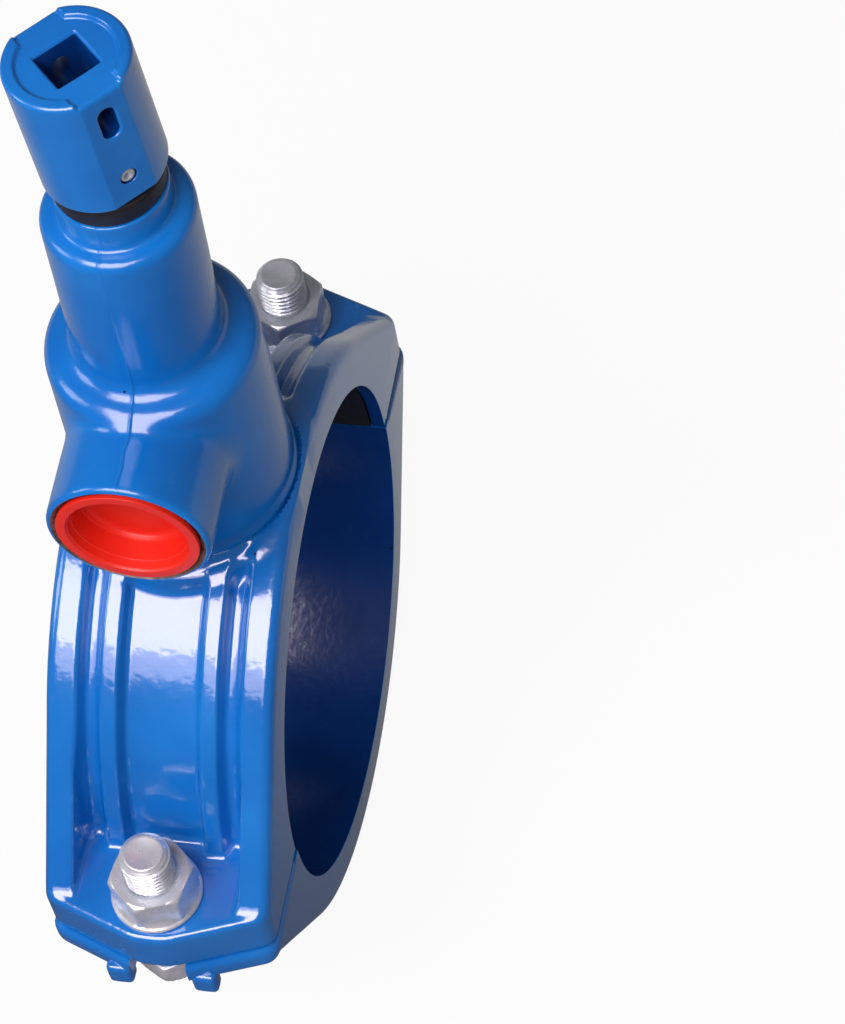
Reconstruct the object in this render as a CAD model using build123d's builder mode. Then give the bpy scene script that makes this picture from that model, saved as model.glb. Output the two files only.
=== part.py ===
"""Tapping saddle for a 160 mm plastic main, with its service valve and side outlet.

Two cast half clamps are bolted round the pipe.  The valve body stands on the crown of
the upper half, its side outlet points along -Y, and the spindle is turned by a square
cap at the top.  Origin: centre of the pipe.  +X: along the pipe.  +Z: along the spindle.
"""

from build123d import *
import os
from math import acos, atan2, cos, hypot, radians, sin

os.makedirs("parts", exist_ok=True)

# ---------------------------------------------------------------- driving dimensions
PIPE_R = 80.0            # outside of the pipe
UPPER_HALF_WIDTH = 36.0  # half clamps, along the pipe
LOWER_HALF_WIDTH = 36.5
PARTING_GAP = 0.6        # left open between the two halves
BORE_RELIEF = 0.4        # the metal of the upper half stands clear of the pipe

# Half clamps, seen along the pipe
UPPER_CROWN_R = 96.0
LOWER_CROWN_R = 95.5
FIELD_R = 91.2           # recessed band between the ribs
RIB_R = 95.7
RIM_INNER = 26.0         # the two rims reach from here to the edge
RIB_OUTER = 18.2
RIB_INNER = 13.4
DRAFT = 2.0              # how far a casting wall leans over its height
RIM_ROUND = 3.2
CHANNEL_ROUND = 1.5
EAR_Y = 112.4            # where the flank of a rim runs out on the ear
UPPER_EAR_HEIGHT = 18.1
LOWER_EAR_DEPTH = 9.6
PLATEAU_R = 38.2         # full-height patch of the crown, round the valve

# Ears, seen from above
EAR_SHOULDER_Y = 113.6
EAR_NOSE_Y = 125.2
EAR_NOSE_X = 5.0
EAR_ROUND = 2.0
TAB_ROUND = 2.0
TAB_OVERHANG = 1.8       # the lower ears stand out this far past the upper ones
SLOT_HALF_WIDTH = 9.0
LUG_DEPTH = 6.4          # retaining lugs under the mouth of each slot
LUG_X = (9.5, 21.5)
LUG_Y = 119.0
LUG_LENGTH = 12.0        # as drawn, before the outline of the ear cuts it off
LUG_ROUND = 1.8

# Bolts, M16
BOLT_Y = 108.4
BOLT_R = 8.0
BOLT_TIP_R = 6.3
BOLT_TIP_Z = 44.7
BOLT_HOLE_R = 8.75
TIP_HOLLOW = 0.8
HEX_FLATS = 24.0
HEX_CORNER_R = HEX_FLATS / 2 / cos(radians(30))
HEX_CHAMFER = 1.2
HEAD_HEIGHT = 10.0
WASHER_FACE = 0.4
WASHER_FACE_R = 11.3
HEAD_TURN = 30.0
NUT_TOP_Z = 31.4
NUT_FLANGE_R = 14.4
NUT_SKIRT = (1.2, 4.2)   # rim of the flange, and where its cone meets the hexagon
FRONT_NUT_TURN = -11.0
REAR_NUT_TURN = 2.0

# Rubber lining of the upper half
LINING_HALF_WIDTH = 31.0
LINING_OUTER_R = 84.0
LINING_HOLE_R = 20.0

# Valve body, a casting screwed into the crown
SEAT_Z = 94.3            # flat on the crown that the body stands on
SEAT_R = 34.3
SPIGOT_R = 29.8
SPIGOT_Z = 89.0
SOCKET_FLOOR_Z = 86.8
SOCKET_BORE_R = 22.0
FOOT_R = 33.9
FOOT_HEIGHT = (1.4, 3.6)
WALL_R_LOW, WALL_R_HIGH = 32.9, 32.1
SHOULDER_Z = (162.5, 169.5)  # outer and inner end of the sloping shoulder
SHOULDER_ROUND = 11.0
NECK_R_LOW, NECK_R_HIGH = 22.4, 21.8
NECK_TOP_Z = 229.3
COLLAR_R = 16.4
COLLAR_Z = 237.0
CHAMBER_R = 25.0
CHAMBER_Z = (98.0, 150.0)
NECK_BORE_R = 12.0
NECK_BORE_Z = 161.0
GUIDE_INNER_R = 21.7     # two ribs in the chamber keep the plunger from turning
GUIDE_HALF_WIDTH = 3.0

# Side outlet, G 1 1/4 female thread
OUTLET_Z = 137.8
OUTLET_FACE_Y = 53.4
BOSS_R = 24.6
BOSS_ROOT_ROUND = 6.0
BOSS_EDGE_ROUND = 1.6
OUTLET_THREAD_R = 20.9
OUTLET_THREAD_DEPTH = 20.0
OUTLET_BORE_R = 19.0
MOUTH_R = 22.6

# Outlet plug, a moulded cup pushed into the thread
CUP_FLANGE_R = 21.4
CUP_FLANGE_Y = (52.3, 54.0)
CUP_R = 20.5
CUP_BACK_Y = 40.2
CUP_FLOOR_Y = 42.0
CUP_INNER_R = 17.2
CUP_MOUTH_CHAMFER = 1.2

# Seat, gland and spindle
SEAT_BORE_R = 16.0
SEAT_RING_R = 20.0
SEAT_RING_Z = (93.0, 99.5)
SPINDLE_R = 9.0
SPINDLE_END_Z = 134.0
SHAFT_FIT = 0.1          # radial clearance of the gland on the spindle
RUNNING_GAP = 0.4        # end clearance of what turns
GLAND_R = 15.0
GLAND_Z = 196.0          # shoulder in the neck, under the spindle collar
SPINDLE_COLLAR_R = 14.2
SPINDLE_COLLAR_HEIGHT = 4.0
THRUST_WASHER = 1.6
GLAND_HEIGHT = 26.0
RING_SECTION = 2.4       # rubber rings, and the grooves that hold them

# Plunger
PLUG_R = 24.0
PLUG_Z = (104.0, 112.0)
FACE_R = 19.0
PLUG_FACE_GAP = 0.4      # between the rubber face and the seat, as drawn
FACE_WASHER_R = 12.0
SLEEVE_R = 11.5
SLEEVE_TOP_Z = 136.0
SLEEVE_NUT_TOP_Z = 148.0
SLEEVE_BORE_R = 9.8
SLEEVE_FLOOR_Z = 107.0
FACE_SCREW_R = 3.0

# Drive cap
CAP_R = (18.0, 17.4)     # at the foot and at the top
CAP_Z = (246.5, 290.7)
CAP_FLAT = 16.5
CAP_ROUND = 1.6
CAP_RECESS_R = 14.4
CAP_RECESS_BAND = 7.2    # half width of the recess where it runs out to the flats
CAP_RECESS_DEPTH = 1.2
SQUARE = 13.2
SQUARE_MOUTH = 0.8
SQUARE_FIT = 0.1
SPINDLE_SQUARE_TOP_Z = 268.0
WINDOW_SIZE = (5.4, 12.6)
WINDOW_Z = 278.5
SET_SCREW_Z = 256.0
SET_SCREW_R = 2.5
SET_SCREW_RECESS = 1.2
SET_SCREW_HEX = 2.5
CAP_TURN = -45.0         # the front flat faces this way, degrees from +X
FRONT_FLAT = Plane(origin=(0, 0, 0), x_dir=(1, 1, 0), z_dir=(1, -1, 0))
DUST_RING_R = (15.6, 17.0)


# ---------------------------------------------------------------- shared profiles
def clamp_side(plane, crown_r, ear_height):
    """Half clamp seen along the pipe: ear ends, straight flanks, crown arc."""
    turn = atan2(ear_height, EAR_Y) + acos(crown_r / hypot(EAR_Y, ear_height))
    y, z = crown_r * cos(turn), crown_r * sin(turn)
    with BuildSketch(plane) as side:
        with BuildLine():
            Polyline((-y, z), (-EAR_Y, ear_height), (-EAR_Y, 0), (EAR_Y, 0), (EAR_Y, ear_height), (y, z))
            ThreePointArc((-y, z), (0, crown_r), (y, z))
        make_face()
    return side.sketch


def channel_section():
    """Metal left out between the rims, drawn as (along the pipe, radius)."""
    half = [
        (0, FIELD_R), (RIB_INNER - DRAFT, FIELD_R), (RIB_INNER, RIB_R), (RIB_OUTER, RIB_R),
        (RIB_OUTER + DRAFT, FIELD_R), (RIM_INNER - DRAFT, FIELD_R), (RIM_INNER, RIB_R),
        (RIM_INNER, 2 * PIPE_R), (0, 2 * PIPE_R),
    ]
    with BuildSketch(Plane.XY) as section:
        with BuildLine():
            Polyline(*half, close=True)
        make_face()
        mirror(about=Plane.YZ)
        walls = section.vertices().filter_by(lambda v: v.Y < RIB_R + 0.1 and 1 < abs(v.X) < RIM_INNER - 0.1)
        fillet(walls, radius=CHANNEL_ROUND)
    return section.sketch


def ear_plan(half_width, overhang):
    """Plan of both ears: straight sides, then a blunt nose round each bolt."""
    shoulder, nose = EAR_SHOULDER_Y + overhang, EAR_NOSE_Y + overhang
    with BuildSketch(Plane.XY) as plan:
        with BuildLine():
            Polyline((half_width, 0), (half_width, shoulder), (EAR_NOSE_X, nose),
                     (-EAR_NOSE_X, nose), (-half_width, shoulder), (-half_width, 0), close=True)
        make_face()
        fillet(plan.vertices().filter_by(lambda v: v.Y > 1), radius=EAR_ROUND)
        mirror(about=Plane.XZ)
    return plan.sketch


def turned(points):
    """Half section of a turned piece about Z from its (radius, height) corners."""
    with BuildSketch(Plane.XZ) as section:
        with BuildLine():
            Polyline(*points, close=True)
        make_face()
    return section.sketch


def ring(inner_r, outer_r, low, high, edge=0.0):
    """Half section of a plain ring about Z, with its edges broken."""
    with BuildSketch(Plane.XZ) as section:
        with Locations(((inner_r + outer_r) / 2, (low + high) / 2)):
            Rectangle(outer_r - inner_r, high - low)
        if edge:
            chamfer(section.vertices(), length=edge)
    return section.sketch


def rim_edges(piece):
    """The long outer edges of a clamp blank, above its ears."""
    return piece.edges().filter_by(Axis.X, reverse=True).filter_by(
        lambda e: abs(e.center().Z) > UPPER_EAR_HEIGHT + 1)


# ---------------------------------------------------------------- half clamps
with BuildPart() as channel:
    revolve(channel_section(), axis=Axis.X)

# The channel of the upper half stops at the plateau that carries the valve.
with BuildPart() as crown_channel:
    add(channel.part)
    with BuildSketch(Plane.XY):
        Circle(PLATEAU_R)
    extrude(amount=2 * PIPE_R, mode=Mode.SUBTRACT)

with BuildPart() as upper_saddle:
    extrude(clamp_side(Plane.YZ.offset(-UPPER_HALF_WIDTH), UPPER_CROWN_R, UPPER_EAR_HEIGHT),
            amount=2 * UPPER_HALF_WIDTH)
    fillet(rim_edges(upper_saddle), radius=RIM_ROUND)
    add(crown_channel.part, mode=Mode.SUBTRACT)
    extrude(ear_plan(UPPER_HALF_WIDTH, 0), amount=UPPER_EAR_HEIGHT)
    # Collar, flat seat and threaded socket for the valve body
    with BuildSketch(Plane.XY.offset(PIPE_R)):
        Circle(SEAT_R)
    extrude(amount=SEAT_Z - PIPE_R)
    with BuildSketch(Plane.XY.offset(SEAT_Z)):
        Circle(SEAT_R)
    extrude(amount=UPPER_CROWN_R, mode=Mode.SUBTRACT)
    with Locations((0, 0, SEAT_Z)):
        CounterBoreHole(SOCKET_BORE_R, SPIGOT_R, SEAT_Z - SOCKET_FLOOR_Z, depth=SEAT_Z)
    # Pipe bore, and the recess that the rubber lining lies in
    with BuildSketch(Plane.YZ):
        Circle(PIPE_R + BORE_RELIEF)
    extrude(amount=UPPER_HALF_WIDTH, both=True, mode=Mode.SUBTRACT)
    with BuildSketch(Plane.YZ):
        Circle(LINING_OUTER_R)
    extrude(amount=LINING_HALF_WIDTH, both=True, mode=Mode.SUBTRACT)
    with Locations(*((0, side * BOLT_Y, UPPER_EAR_HEIGHT) for side in (-1, 1))):
        Hole(BOLT_HOLE_R, depth=UPPER_EAR_HEIGHT)

under = Plane(origin=(LOWER_HALF_WIDTH, 0, 0), x_dir=(0, 1, 0), z_dir=(-1, 0, 0))
with BuildPart() as lower_saddle:
    extrude(clamp_side(under, LOWER_CROWN_R, LOWER_EAR_DEPTH), amount=2 * LOWER_HALF_WIDTH)
    fillet(rim_edges(lower_saddle), radius=RIM_ROUND)
    add(channel.part, mode=Mode.SUBTRACT)
    extrude(ear_plan(LOWER_HALF_WIDTH, TAB_OVERHANG), amount=-LOWER_EAR_DEPTH)
    tab_top = lower_saddle.edges().group_by(Axis.Z)[-1]
    fillet(tab_top.filter_by(lambda e: abs(e.center().Y) > EAR_SHOULDER_Y), radius=TAB_ROUND)
    # Lugs under the mouth of each slot keep the bolt head from sliding out.
    with BuildSketch(Plane.XY):
        with GridLocations(sum(LUG_X), 2 * LUG_Y + LUG_LENGTH, 2, 2):
            RectangleRounded(LUG_X[1] - LUG_X[0], LUG_LENGTH, LUG_ROUND)
        add(ear_plan(LOWER_HALF_WIDTH, TAB_OVERHANG), mode=Mode.INTERSECT)
    extrude(amount=-LOWER_EAR_DEPTH - LUG_DEPTH)
    # Open slots, so that a bolt can be swung in from the side
    with BuildSketch(Plane.XY):
        with Locations((0, -BOLT_Y), (0, BOLT_Y)):
            Circle(SLOT_HALF_WIDTH)
        with Locations((0, -BOLT_Y - EAR_NOSE_Y / 2), (0, BOLT_Y + EAR_NOSE_Y / 2)):
            Rectangle(2 * SLOT_HALF_WIDTH, EAR_NOSE_Y)
    extrude(amount=-3 * LOWER_EAR_DEPTH, mode=Mode.SUBTRACT)
    with BuildSketch(Plane.YZ):
        Circle(PIPE_R)
    extrude(amount=LOWER_HALF_WIDTH, both=True, mode=Mode.SUBTRACT)
    split(bisect_by=Plane.XY.offset(-PARTING_GAP), keep=Keep.BOTTOM)

with BuildPart() as saddle_lining:
    with BuildSketch(Plane.YZ):
        Circle(LINING_OUTER_R)
        Circle(PIPE_R, mode=Mode.SUBTRACT)
        Rectangle(3 * PIPE_R, 2 * PIPE_R, align=(Align.CENTER, Align.MAX), mode=Mode.SUBTRACT)
    extrude(amount=LINING_HALF_WIDTH, both=True)
    with BuildSketch(Plane.XY):
        Circle(LINING_HOLE_R)
    extrude(amount=2 * PIPE_R, mode=Mode.SUBTRACT)


# ---------------------------------------------------------------- bolts and nuts
def hexagon_prism(plane, turn, length):
    """Hexagonal prism over HEX_FLATS, one corner turned from +X by the given angle."""
    with BuildSketch(plane) as outline:
        RegularPolygon(HEX_FLATS / 2, 6, major_radius=False, rotation=turn)
    return extrude(outline.sketch, amount=length)


def bolt(side):
    """M16 hexagon bolt, head down, at the front (side -1) or rear (side +1) ear."""
    top = -LOWER_EAR_DEPTH - WASHER_FACE
    end = top - HEAD_HEIGHT
    with BuildPart() as piece:
        add(hexagon_prism(Plane.XY.offset(top), HEAD_TURN, -HEAD_HEIGHT))
        revolve(turned([(0, top), (HEX_CORNER_R, top), (HEX_CORNER_R, end + HEX_CHAMFER),
                        (HEX_CORNER_R - 2 * HEX_CHAMFER, end), (0, end)]),
                axis=Axis.Z, mode=Mode.INTERSECT)
        revolve(turned([(0, top), (WASHER_FACE_R, top), (WASHER_FACE_R, -LOWER_EAR_DEPTH),
                        (BOLT_R, -LOWER_EAR_DEPTH), (BOLT_R, BOLT_TIP_Z - BOLT_R + BOLT_TIP_R),
                        (BOLT_TIP_R, BOLT_TIP_Z), (BOLT_TIP_R - 1, BOLT_TIP_Z),
                        (0, BOLT_TIP_Z - TIP_HOLLOW)]), axis=Axis.Z)
    return piece.part.moved(Location((0, side * BOLT_Y, 0)))


def flange_nut(side, turn):
    """M16 flange nut: hexagon with a chamfered crown on a conical skirt."""
    base, flats_r = UPPER_EAR_HEIGHT, HEX_FLATS / 2
    with BuildPart() as piece:
        add(hexagon_prism(Plane.XY.offset(base), turn, NUT_TOP_Z - base))
        revolve(turned([(0, base), (HEX_CORNER_R, base), (HEX_CORNER_R, NUT_TOP_Z - HEX_CHAMFER),
                        (HEX_CORNER_R - 2 * HEX_CHAMFER, NUT_TOP_Z), (0, NUT_TOP_Z)]),
                axis=Axis.Z, mode=Mode.INTERSECT)
        revolve(turned([(0, base), (NUT_FLANGE_R, base), (NUT_FLANGE_R, base + NUT_SKIRT[0]),
                        (flats_r, base + NUT_SKIRT[1]), (0, base + NUT_SKIRT[1])]), axis=Axis.Z)
        revolve(turned([(0, base), (BOLT_R, base), (BOLT_R, NUT_TOP_Z - 1),
                        (BOLT_R + 1, NUT_TOP_Z), (0, NUT_TOP_Z)]), axis=Axis.Z, mode=Mode.SUBTRACT)
    return piece.part.moved(Location((0, side * BOLT_Y, 0)))


# ---------------------------------------------------------------- valve body
def body_section():
    """Outer half section of the valve body: spigot, foot, wall, neck and collar."""
    corners = [
        (0, SPIGOT_Z), (SPIGOT_R, SPIGOT_Z), (SPIGOT_R, SEAT_Z), (FOOT_R, SEAT_Z),
        (FOOT_R, SEAT_Z + FOOT_HEIGHT[0]), (WALL_R_LOW, SEAT_Z + FOOT_HEIGHT[1]),
        (WALL_R_HIGH, SHOULDER_Z[0]), (NECK_R_LOW, SHOULDER_Z[1]), (NECK_R_HIGH, NECK_TOP_Z),
        (COLLAR_R, NECK_TOP_Z), (COLLAR_R, COLLAR_Z), (0, COLLAR_Z),
    ]
    rounds = {5: 2.5, 6: SHOULDER_ROUND, 7: 4.0, 8: 3.5, 9: 1.0, 10: 0.6}
    with BuildSketch(Plane.XZ) as section:
        with BuildLine():
            Polyline(*corners, close=True)
        make_face()
        for corner, radius in rounds.items():
            fillet(section.vertices().sort_by_distance(corners[corner])[0], radius=radius)
    return section.sketch


outlet_plane = Plane.XY.offset(OUTLET_Z)
outlet_axis = Axis((0, 0, OUTLET_Z), (0, 1, 0))


def outlet_section():
    """Outlet bore, thread and bare machined mouth, with the spindle at y = 0."""
    thread_end = OUTLET_THREAD_DEPTH - OUTLET_FACE_Y
    mouth_depth = MOUTH_R - OUTLET_THREAD_R
    with BuildSketch(outlet_plane) as section:
        with BuildLine():
            Polyline((0, 0), (OUTLET_BORE_R, 0), (OUTLET_BORE_R, thread_end),
                     (OUTLET_THREAD_R, thread_end), (OUTLET_THREAD_R, mouth_depth - OUTLET_FACE_Y),
                     (MOUTH_R, -OUTLET_FACE_Y), (0, -OUTLET_FACE_Y), close=True)
        make_face()
    return section.sketch


with BuildPart() as valve_body:
    revolve(body_section(), axis=Axis.Z)
    with BuildSketch(Plane.XZ):
        with Locations((0, OUTLET_Z)):
            Circle(BOSS_R)
    extrude(amount=OUTLET_FACE_Y)
    fillet(valve_body.edges().filter_by(GeomType.BSPLINE), radius=BOSS_ROOT_ROUND)
    # Chamber, neck bore and gland pocket
    revolve(turned([(0, SPIGOT_Z), (SEAT_BORE_R, SPIGOT_Z), (SEAT_BORE_R, SEAT_RING_Z[0]),
                    (SEAT_RING_R, SEAT_RING_Z[0]), (SEAT_RING_R, CHAMBER_Z[0]),
                    (CHAMBER_R, CHAMBER_Z[0]), (CHAMBER_R, CHAMBER_Z[1]),
                    (NECK_BORE_R, NECK_BORE_Z), (NECK_BORE_R, GLAND_Z), (GLAND_R, GLAND_Z),
                    (GLAND_R, COLLAR_Z), (0, COLLAR_Z)]), axis=Axis.Z, mode=Mode.SUBTRACT)
    fillet(valve_body.edges().filter_by(GeomType.CIRCLE).sort_by(Axis.Y)[0], radius=BOSS_EDGE_ROUND)
    revolve(outlet_section(), axis=outlet_axis, mode=Mode.SUBTRACT)
    with BuildSketch(Plane.XY.offset(CHAMBER_Z[0])):
        Circle(CHAMBER_R + 1)
        Circle(GUIDE_INNER_R, mode=Mode.SUBTRACT)
        Rectangle(3 * CHAMBER_R, 2 * GUIDE_HALF_WIDTH, mode=Mode.INTERSECT)
    extrude(amount=CHAMBER_Z[1] - CHAMBER_Z[0])

with BuildPart() as body_seal:
    revolve(ring(SOCKET_BORE_R, SPIGOT_R, SOCKET_FLOOR_Z, SPIGOT_Z), axis=Axis.Z)

with BuildPart() as seat_ring:
    revolve(ring(SEAT_BORE_R, SEAT_RING_R, *SEAT_RING_Z, edge=0.5), axis=Axis.Z)

with BuildPart() as outlet_plug:
    flange_back, flange_front = CUP_FLANGE_Y
    with BuildSketch(outlet_plane):
        with BuildLine():
            Polyline((0, -CUP_BACK_Y), (CUP_R - 1, -CUP_BACK_Y), (CUP_R, -CUP_BACK_Y - 1),
                     (CUP_R, -flange_back), (CUP_FLANGE_R, -flange_back),
                     (CUP_FLANGE_R, -flange_front), (CUP_INNER_R + CUP_MOUTH_CHAMFER, -flange_front),
                     (CUP_INNER_R, -flange_front + CUP_MOUTH_CHAMFER), (CUP_INNER_R, -CUP_FLOOR_Y),
                     (0, -CUP_FLOOR_Y), close=True)
        make_face()
    revolve(axis=outlet_axis)

# ---------------------------------------------------------------- spindle, gland and plunger
collar_low = GLAND_Z + RUNNING_GAP
collar_high = collar_low + SPINDLE_COLLAR_HEIGHT
washer_low = collar_high + RUNNING_GAP
gland_low = washer_low + THRUST_WASHER
gland_high = gland_low + GLAND_HEIGHT
bush_r = SPINDLE_R + SHAFT_FIT
inner_groove_z = [gland_low + step * GLAND_HEIGHT / 4 for step in (1, 2.2)]
outer_groove_z = gland_low + GLAND_HEIGHT * 0.72

with BuildPart() as spindle:
    revolve(turned([(0, SPINDLE_END_Z), (SPINDLE_R - 1, SPINDLE_END_Z), (SPINDLE_R, SPINDLE_END_Z + 1),
                    (SPINDLE_R, collar_low), (SPINDLE_COLLAR_R, collar_low),
                    (SPINDLE_COLLAR_R, collar_high), (SPINDLE_R, collar_high),
                    (SPINDLE_R, CAP_Z[0]), (0, CAP_Z[0])]), axis=Axis.Z)
    with BuildSketch(Plane.XY.offset(CAP_Z[0])):
        Rectangle(SQUARE - 2 * SQUARE_FIT, SQUARE - 2 * SQUARE_FIT, rotation=CAP_TURN)
        Circle(SPINDLE_R, mode=Mode.INTERSECT)
    extrude(amount=SPINDLE_SQUARE_TOP_Z - CAP_Z[0])

with BuildPart() as thrust_washer:
    revolve(ring(bush_r + RUNNING_GAP, GLAND_R, washer_low, gland_low), axis=Axis.Z)

with BuildPart() as gland_bush:
    revolve(ring(bush_r, GLAND_R, gland_low, gland_high, edge=0.5), axis=Axis.Z)
    for z in inner_groove_z:
        revolve(ring(bush_r, bush_r + RING_SECTION, z, z + RING_SECTION), axis=Axis.Z, mode=Mode.SUBTRACT)
    revolve(ring(GLAND_R - RING_SECTION, GLAND_R, outer_groove_z, outer_groove_z + RING_SECTION),
            axis=Axis.Z, mode=Mode.SUBTRACT)


def o_ring(inner_r, low):
    """Rubber ring that fills its groove, its round section drawn with eight sides."""
    with BuildPart() as rubber:
        with BuildSketch(Plane.XZ):
            with Locations((inner_r + RING_SECTION / 2, low + RING_SECTION / 2)):
                RegularPolygon(RING_SECTION / 2, 8, major_radius=False, rotation=22.5)
        revolve(axis=Axis.Z)
    return rubber.part


with BuildPart() as plunger_nut:
    revolve(turned([(bush_r, SLEEVE_TOP_Z), (SLEEVE_R, SLEEVE_TOP_Z), (SLEEVE_R, SLEEVE_NUT_TOP_Z - 1),
                    (SLEEVE_R - 1, SLEEVE_NUT_TOP_Z), (bush_r, SLEEVE_NUT_TOP_Z)]), axis=Axis.Z)

with BuildPart() as valve_plug:
    face_low = SEAT_RING_Z[1] + PLUG_FACE_GAP
    revolve(turned([(0, PLUG_Z[0]), (PLUG_R, PLUG_Z[0]), (PLUG_R, PLUG_Z[1]), (SLEEVE_R, PLUG_Z[1]),
                    (SLEEVE_R, SLEEVE_TOP_Z), (SLEEVE_BORE_R, SLEEVE_TOP_Z),
                    (SLEEVE_BORE_R, SLEEVE_FLOOR_Z), (0, SLEEVE_FLOOR_Z)]), axis=Axis.Z)
    with BuildSketch(Plane.XY.offset(PLUG_Z[0])):
        Rectangle(3 * PLUG_R, 2 * (GUIDE_HALF_WIDTH + RUNNING_GAP))
        Circle(GUIDE_INNER_R - RUNNING_GAP, mode=Mode.SUBTRACT)
    extrude(amount=PLUG_Z[1] - PLUG_Z[0], mode=Mode.SUBTRACT)
    with BuildSketch(Plane.XY.offset(PLUG_Z[0])):
        Circle(FACE_SCREW_R)
    extrude(amount=SLEEVE_FLOOR_Z - PLUG_Z[0], mode=Mode.SUBTRACT)

with BuildPart() as plug_face:
    revolve(ring(FACE_SCREW_R, FACE_R, face_low, PLUG_Z[0], edge=0.5), axis=Axis.Z)

with BuildPart() as face_washer:
    revolve(ring(FACE_SCREW_R, FACE_WASHER_R, face_low - 1.6, face_low), axis=Axis.Z)

with BuildPart() as face_screw:
    with BuildSketch(Plane.XY.offset(face_low - 1.6)):
        RegularPolygon(5, 6, major_radius=False)
    extrude(amount=-4)
    with BuildSketch(Plane.XY.offset(face_low - 1.6)):
        Circle(FACE_SCREW_R)
    extrude(amount=SLEEVE_FLOOR_Z - face_low + 1.6)

with BuildPart() as dust_ring:
    revolve(turned([(bush_r + RUNNING_GAP, COLLAR_Z), (DUST_RING_R[0], COLLAR_Z),
                    (DUST_RING_R[1], CAP_Z[0] - RUNNING_GAP),
                    (bush_r + RUNNING_GAP, CAP_Z[0] - RUNNING_GAP)]), axis=Axis.Z)

# ---------------------------------------------------------------- drive cap
flat_face = FRONT_FLAT.offset(CAP_FLAT)
with BuildPart() as drive_cap:
    revolve(turned([(0, CAP_Z[0]), (CAP_R[0], CAP_Z[0]), (CAP_R[1], CAP_Z[1]), (0, CAP_Z[1])]),
            axis=Axis.Z)
    fillet(drive_cap.edges().filter_by(GeomType.CIRCLE).group_by(Axis.Z)[-1], radius=CAP_ROUND)
    with BuildSketch(Plane.XY.offset(CAP_Z[0])):
        Rectangle(3 * CAP_FLAT, 3 * CAP_FLAT, rotation=CAP_TURN)
        Rectangle(2 * CAP_FLAT, 3 * CAP_FLAT, rotation=CAP_TURN, mode=Mode.SUBTRACT)
    extrude(amount=CAP_Z[1] - CAP_Z[0], mode=Mode.SUBTRACT)
    with BuildSketch(Plane.XY.offset(CAP_Z[1])):
        Circle(CAP_RECESS_R)
        Rectangle(3 * CAP_FLAT, 2 * CAP_RECESS_BAND, rotation=CAP_TURN)
    extrude(amount=-CAP_RECESS_DEPTH, mode=Mode.SUBTRACT)
    with BuildSketch(Plane.XY):
        Rectangle(SQUARE, SQUARE, rotation=CAP_TURN)
    extrude(amount=2 * CAP_Z[1], mode=Mode.SUBTRACT)
    chamfer(drive_cap.edges().filter_by(GeomType.LINE).filter_by(
        lambda e: abs(e.center().Z - CAP_Z[1] + CAP_RECESS_DEPTH) < 0.01 and e.center().length < CAP_Z[1]
        and hypot(e.center().X, e.center().Y) < SQUARE / 2 + 0.1), length=SQUARE_MOUTH)
    with BuildSketch(flat_face):
        with Locations((0, WINDOW_Z)):
            RectangleRounded(*WINDOW_SIZE, 1.8)
    extrude(amount=-2 * CAP_FLAT, mode=Mode.SUBTRACT)
    with BuildSketch(flat_face):
        with Locations((0, SET_SCREW_Z)):
            Circle(SET_SCREW_R)
    extrude(amount=-CAP_FLAT, mode=Mode.SUBTRACT)

with BuildPart() as set_screw:
    with BuildSketch(flat_face.offset(-SET_SCREW_RECESS)):
        with Locations((0, SET_SCREW_Z)):
            Circle(SET_SCREW_R)
    extrude(amount=SET_SCREW_RECESS + SQUARE / 2 - CAP_FLAT)
    with BuildSketch(flat_face.offset(-SET_SCREW_RECESS)):
        with Locations((0, SET_SCREW_Z)):
            RegularPolygon(SET_SCREW_HEX / 2, 6, major_radius=False)
    extrude(amount=-2.5, mode=Mode.SUBTRACT)

pieces = {
    "upper_saddle": upper_saddle.part,
    "lower_saddle": lower_saddle.part,
    "saddle_lining": saddle_lining.part,
    "front_bolt": bolt(-1),
    "rear_bolt": bolt(1),
    "front_nut": flange_nut(-1, FRONT_NUT_TURN),
    "rear_nut": flange_nut(1, REAR_NUT_TURN),
    "valve_body": valve_body.part,
    "body_seal": body_seal.part,
    "seat_ring": seat_ring.part,
    "outlet_plug": outlet_plug.part,
    "spindle": spindle.part,
    "thrust_washer": thrust_washer.part,
    "gland_bush": gland_bush.part,
    "gland_lower_seal": o_ring(bush_r, inner_groove_z[0]),
    "gland_upper_seal": o_ring(bush_r, inner_groove_z[1]),
    "gland_outer_seal": o_ring(GLAND_R - RING_SECTION, outer_groove_z),
    "plunger_nut": plunger_nut.part,
    "valve_plug": valve_plug.part,
    "plug_face": plug_face.part,
    "face_washer": face_washer.part,
    "face_screw": face_screw.part,
    "dust_ring": dust_ring.part,
    "drive_cap": drive_cap.part,
    "set_screw": set_screw.part,
}
for label, piece in pieces.items():
    piece.label = label
    export_step(piece, f"parts/{label}.step")
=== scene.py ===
import bmesh
import bpy
import numpy as np
from mathutils import Matrix, Vector


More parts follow.
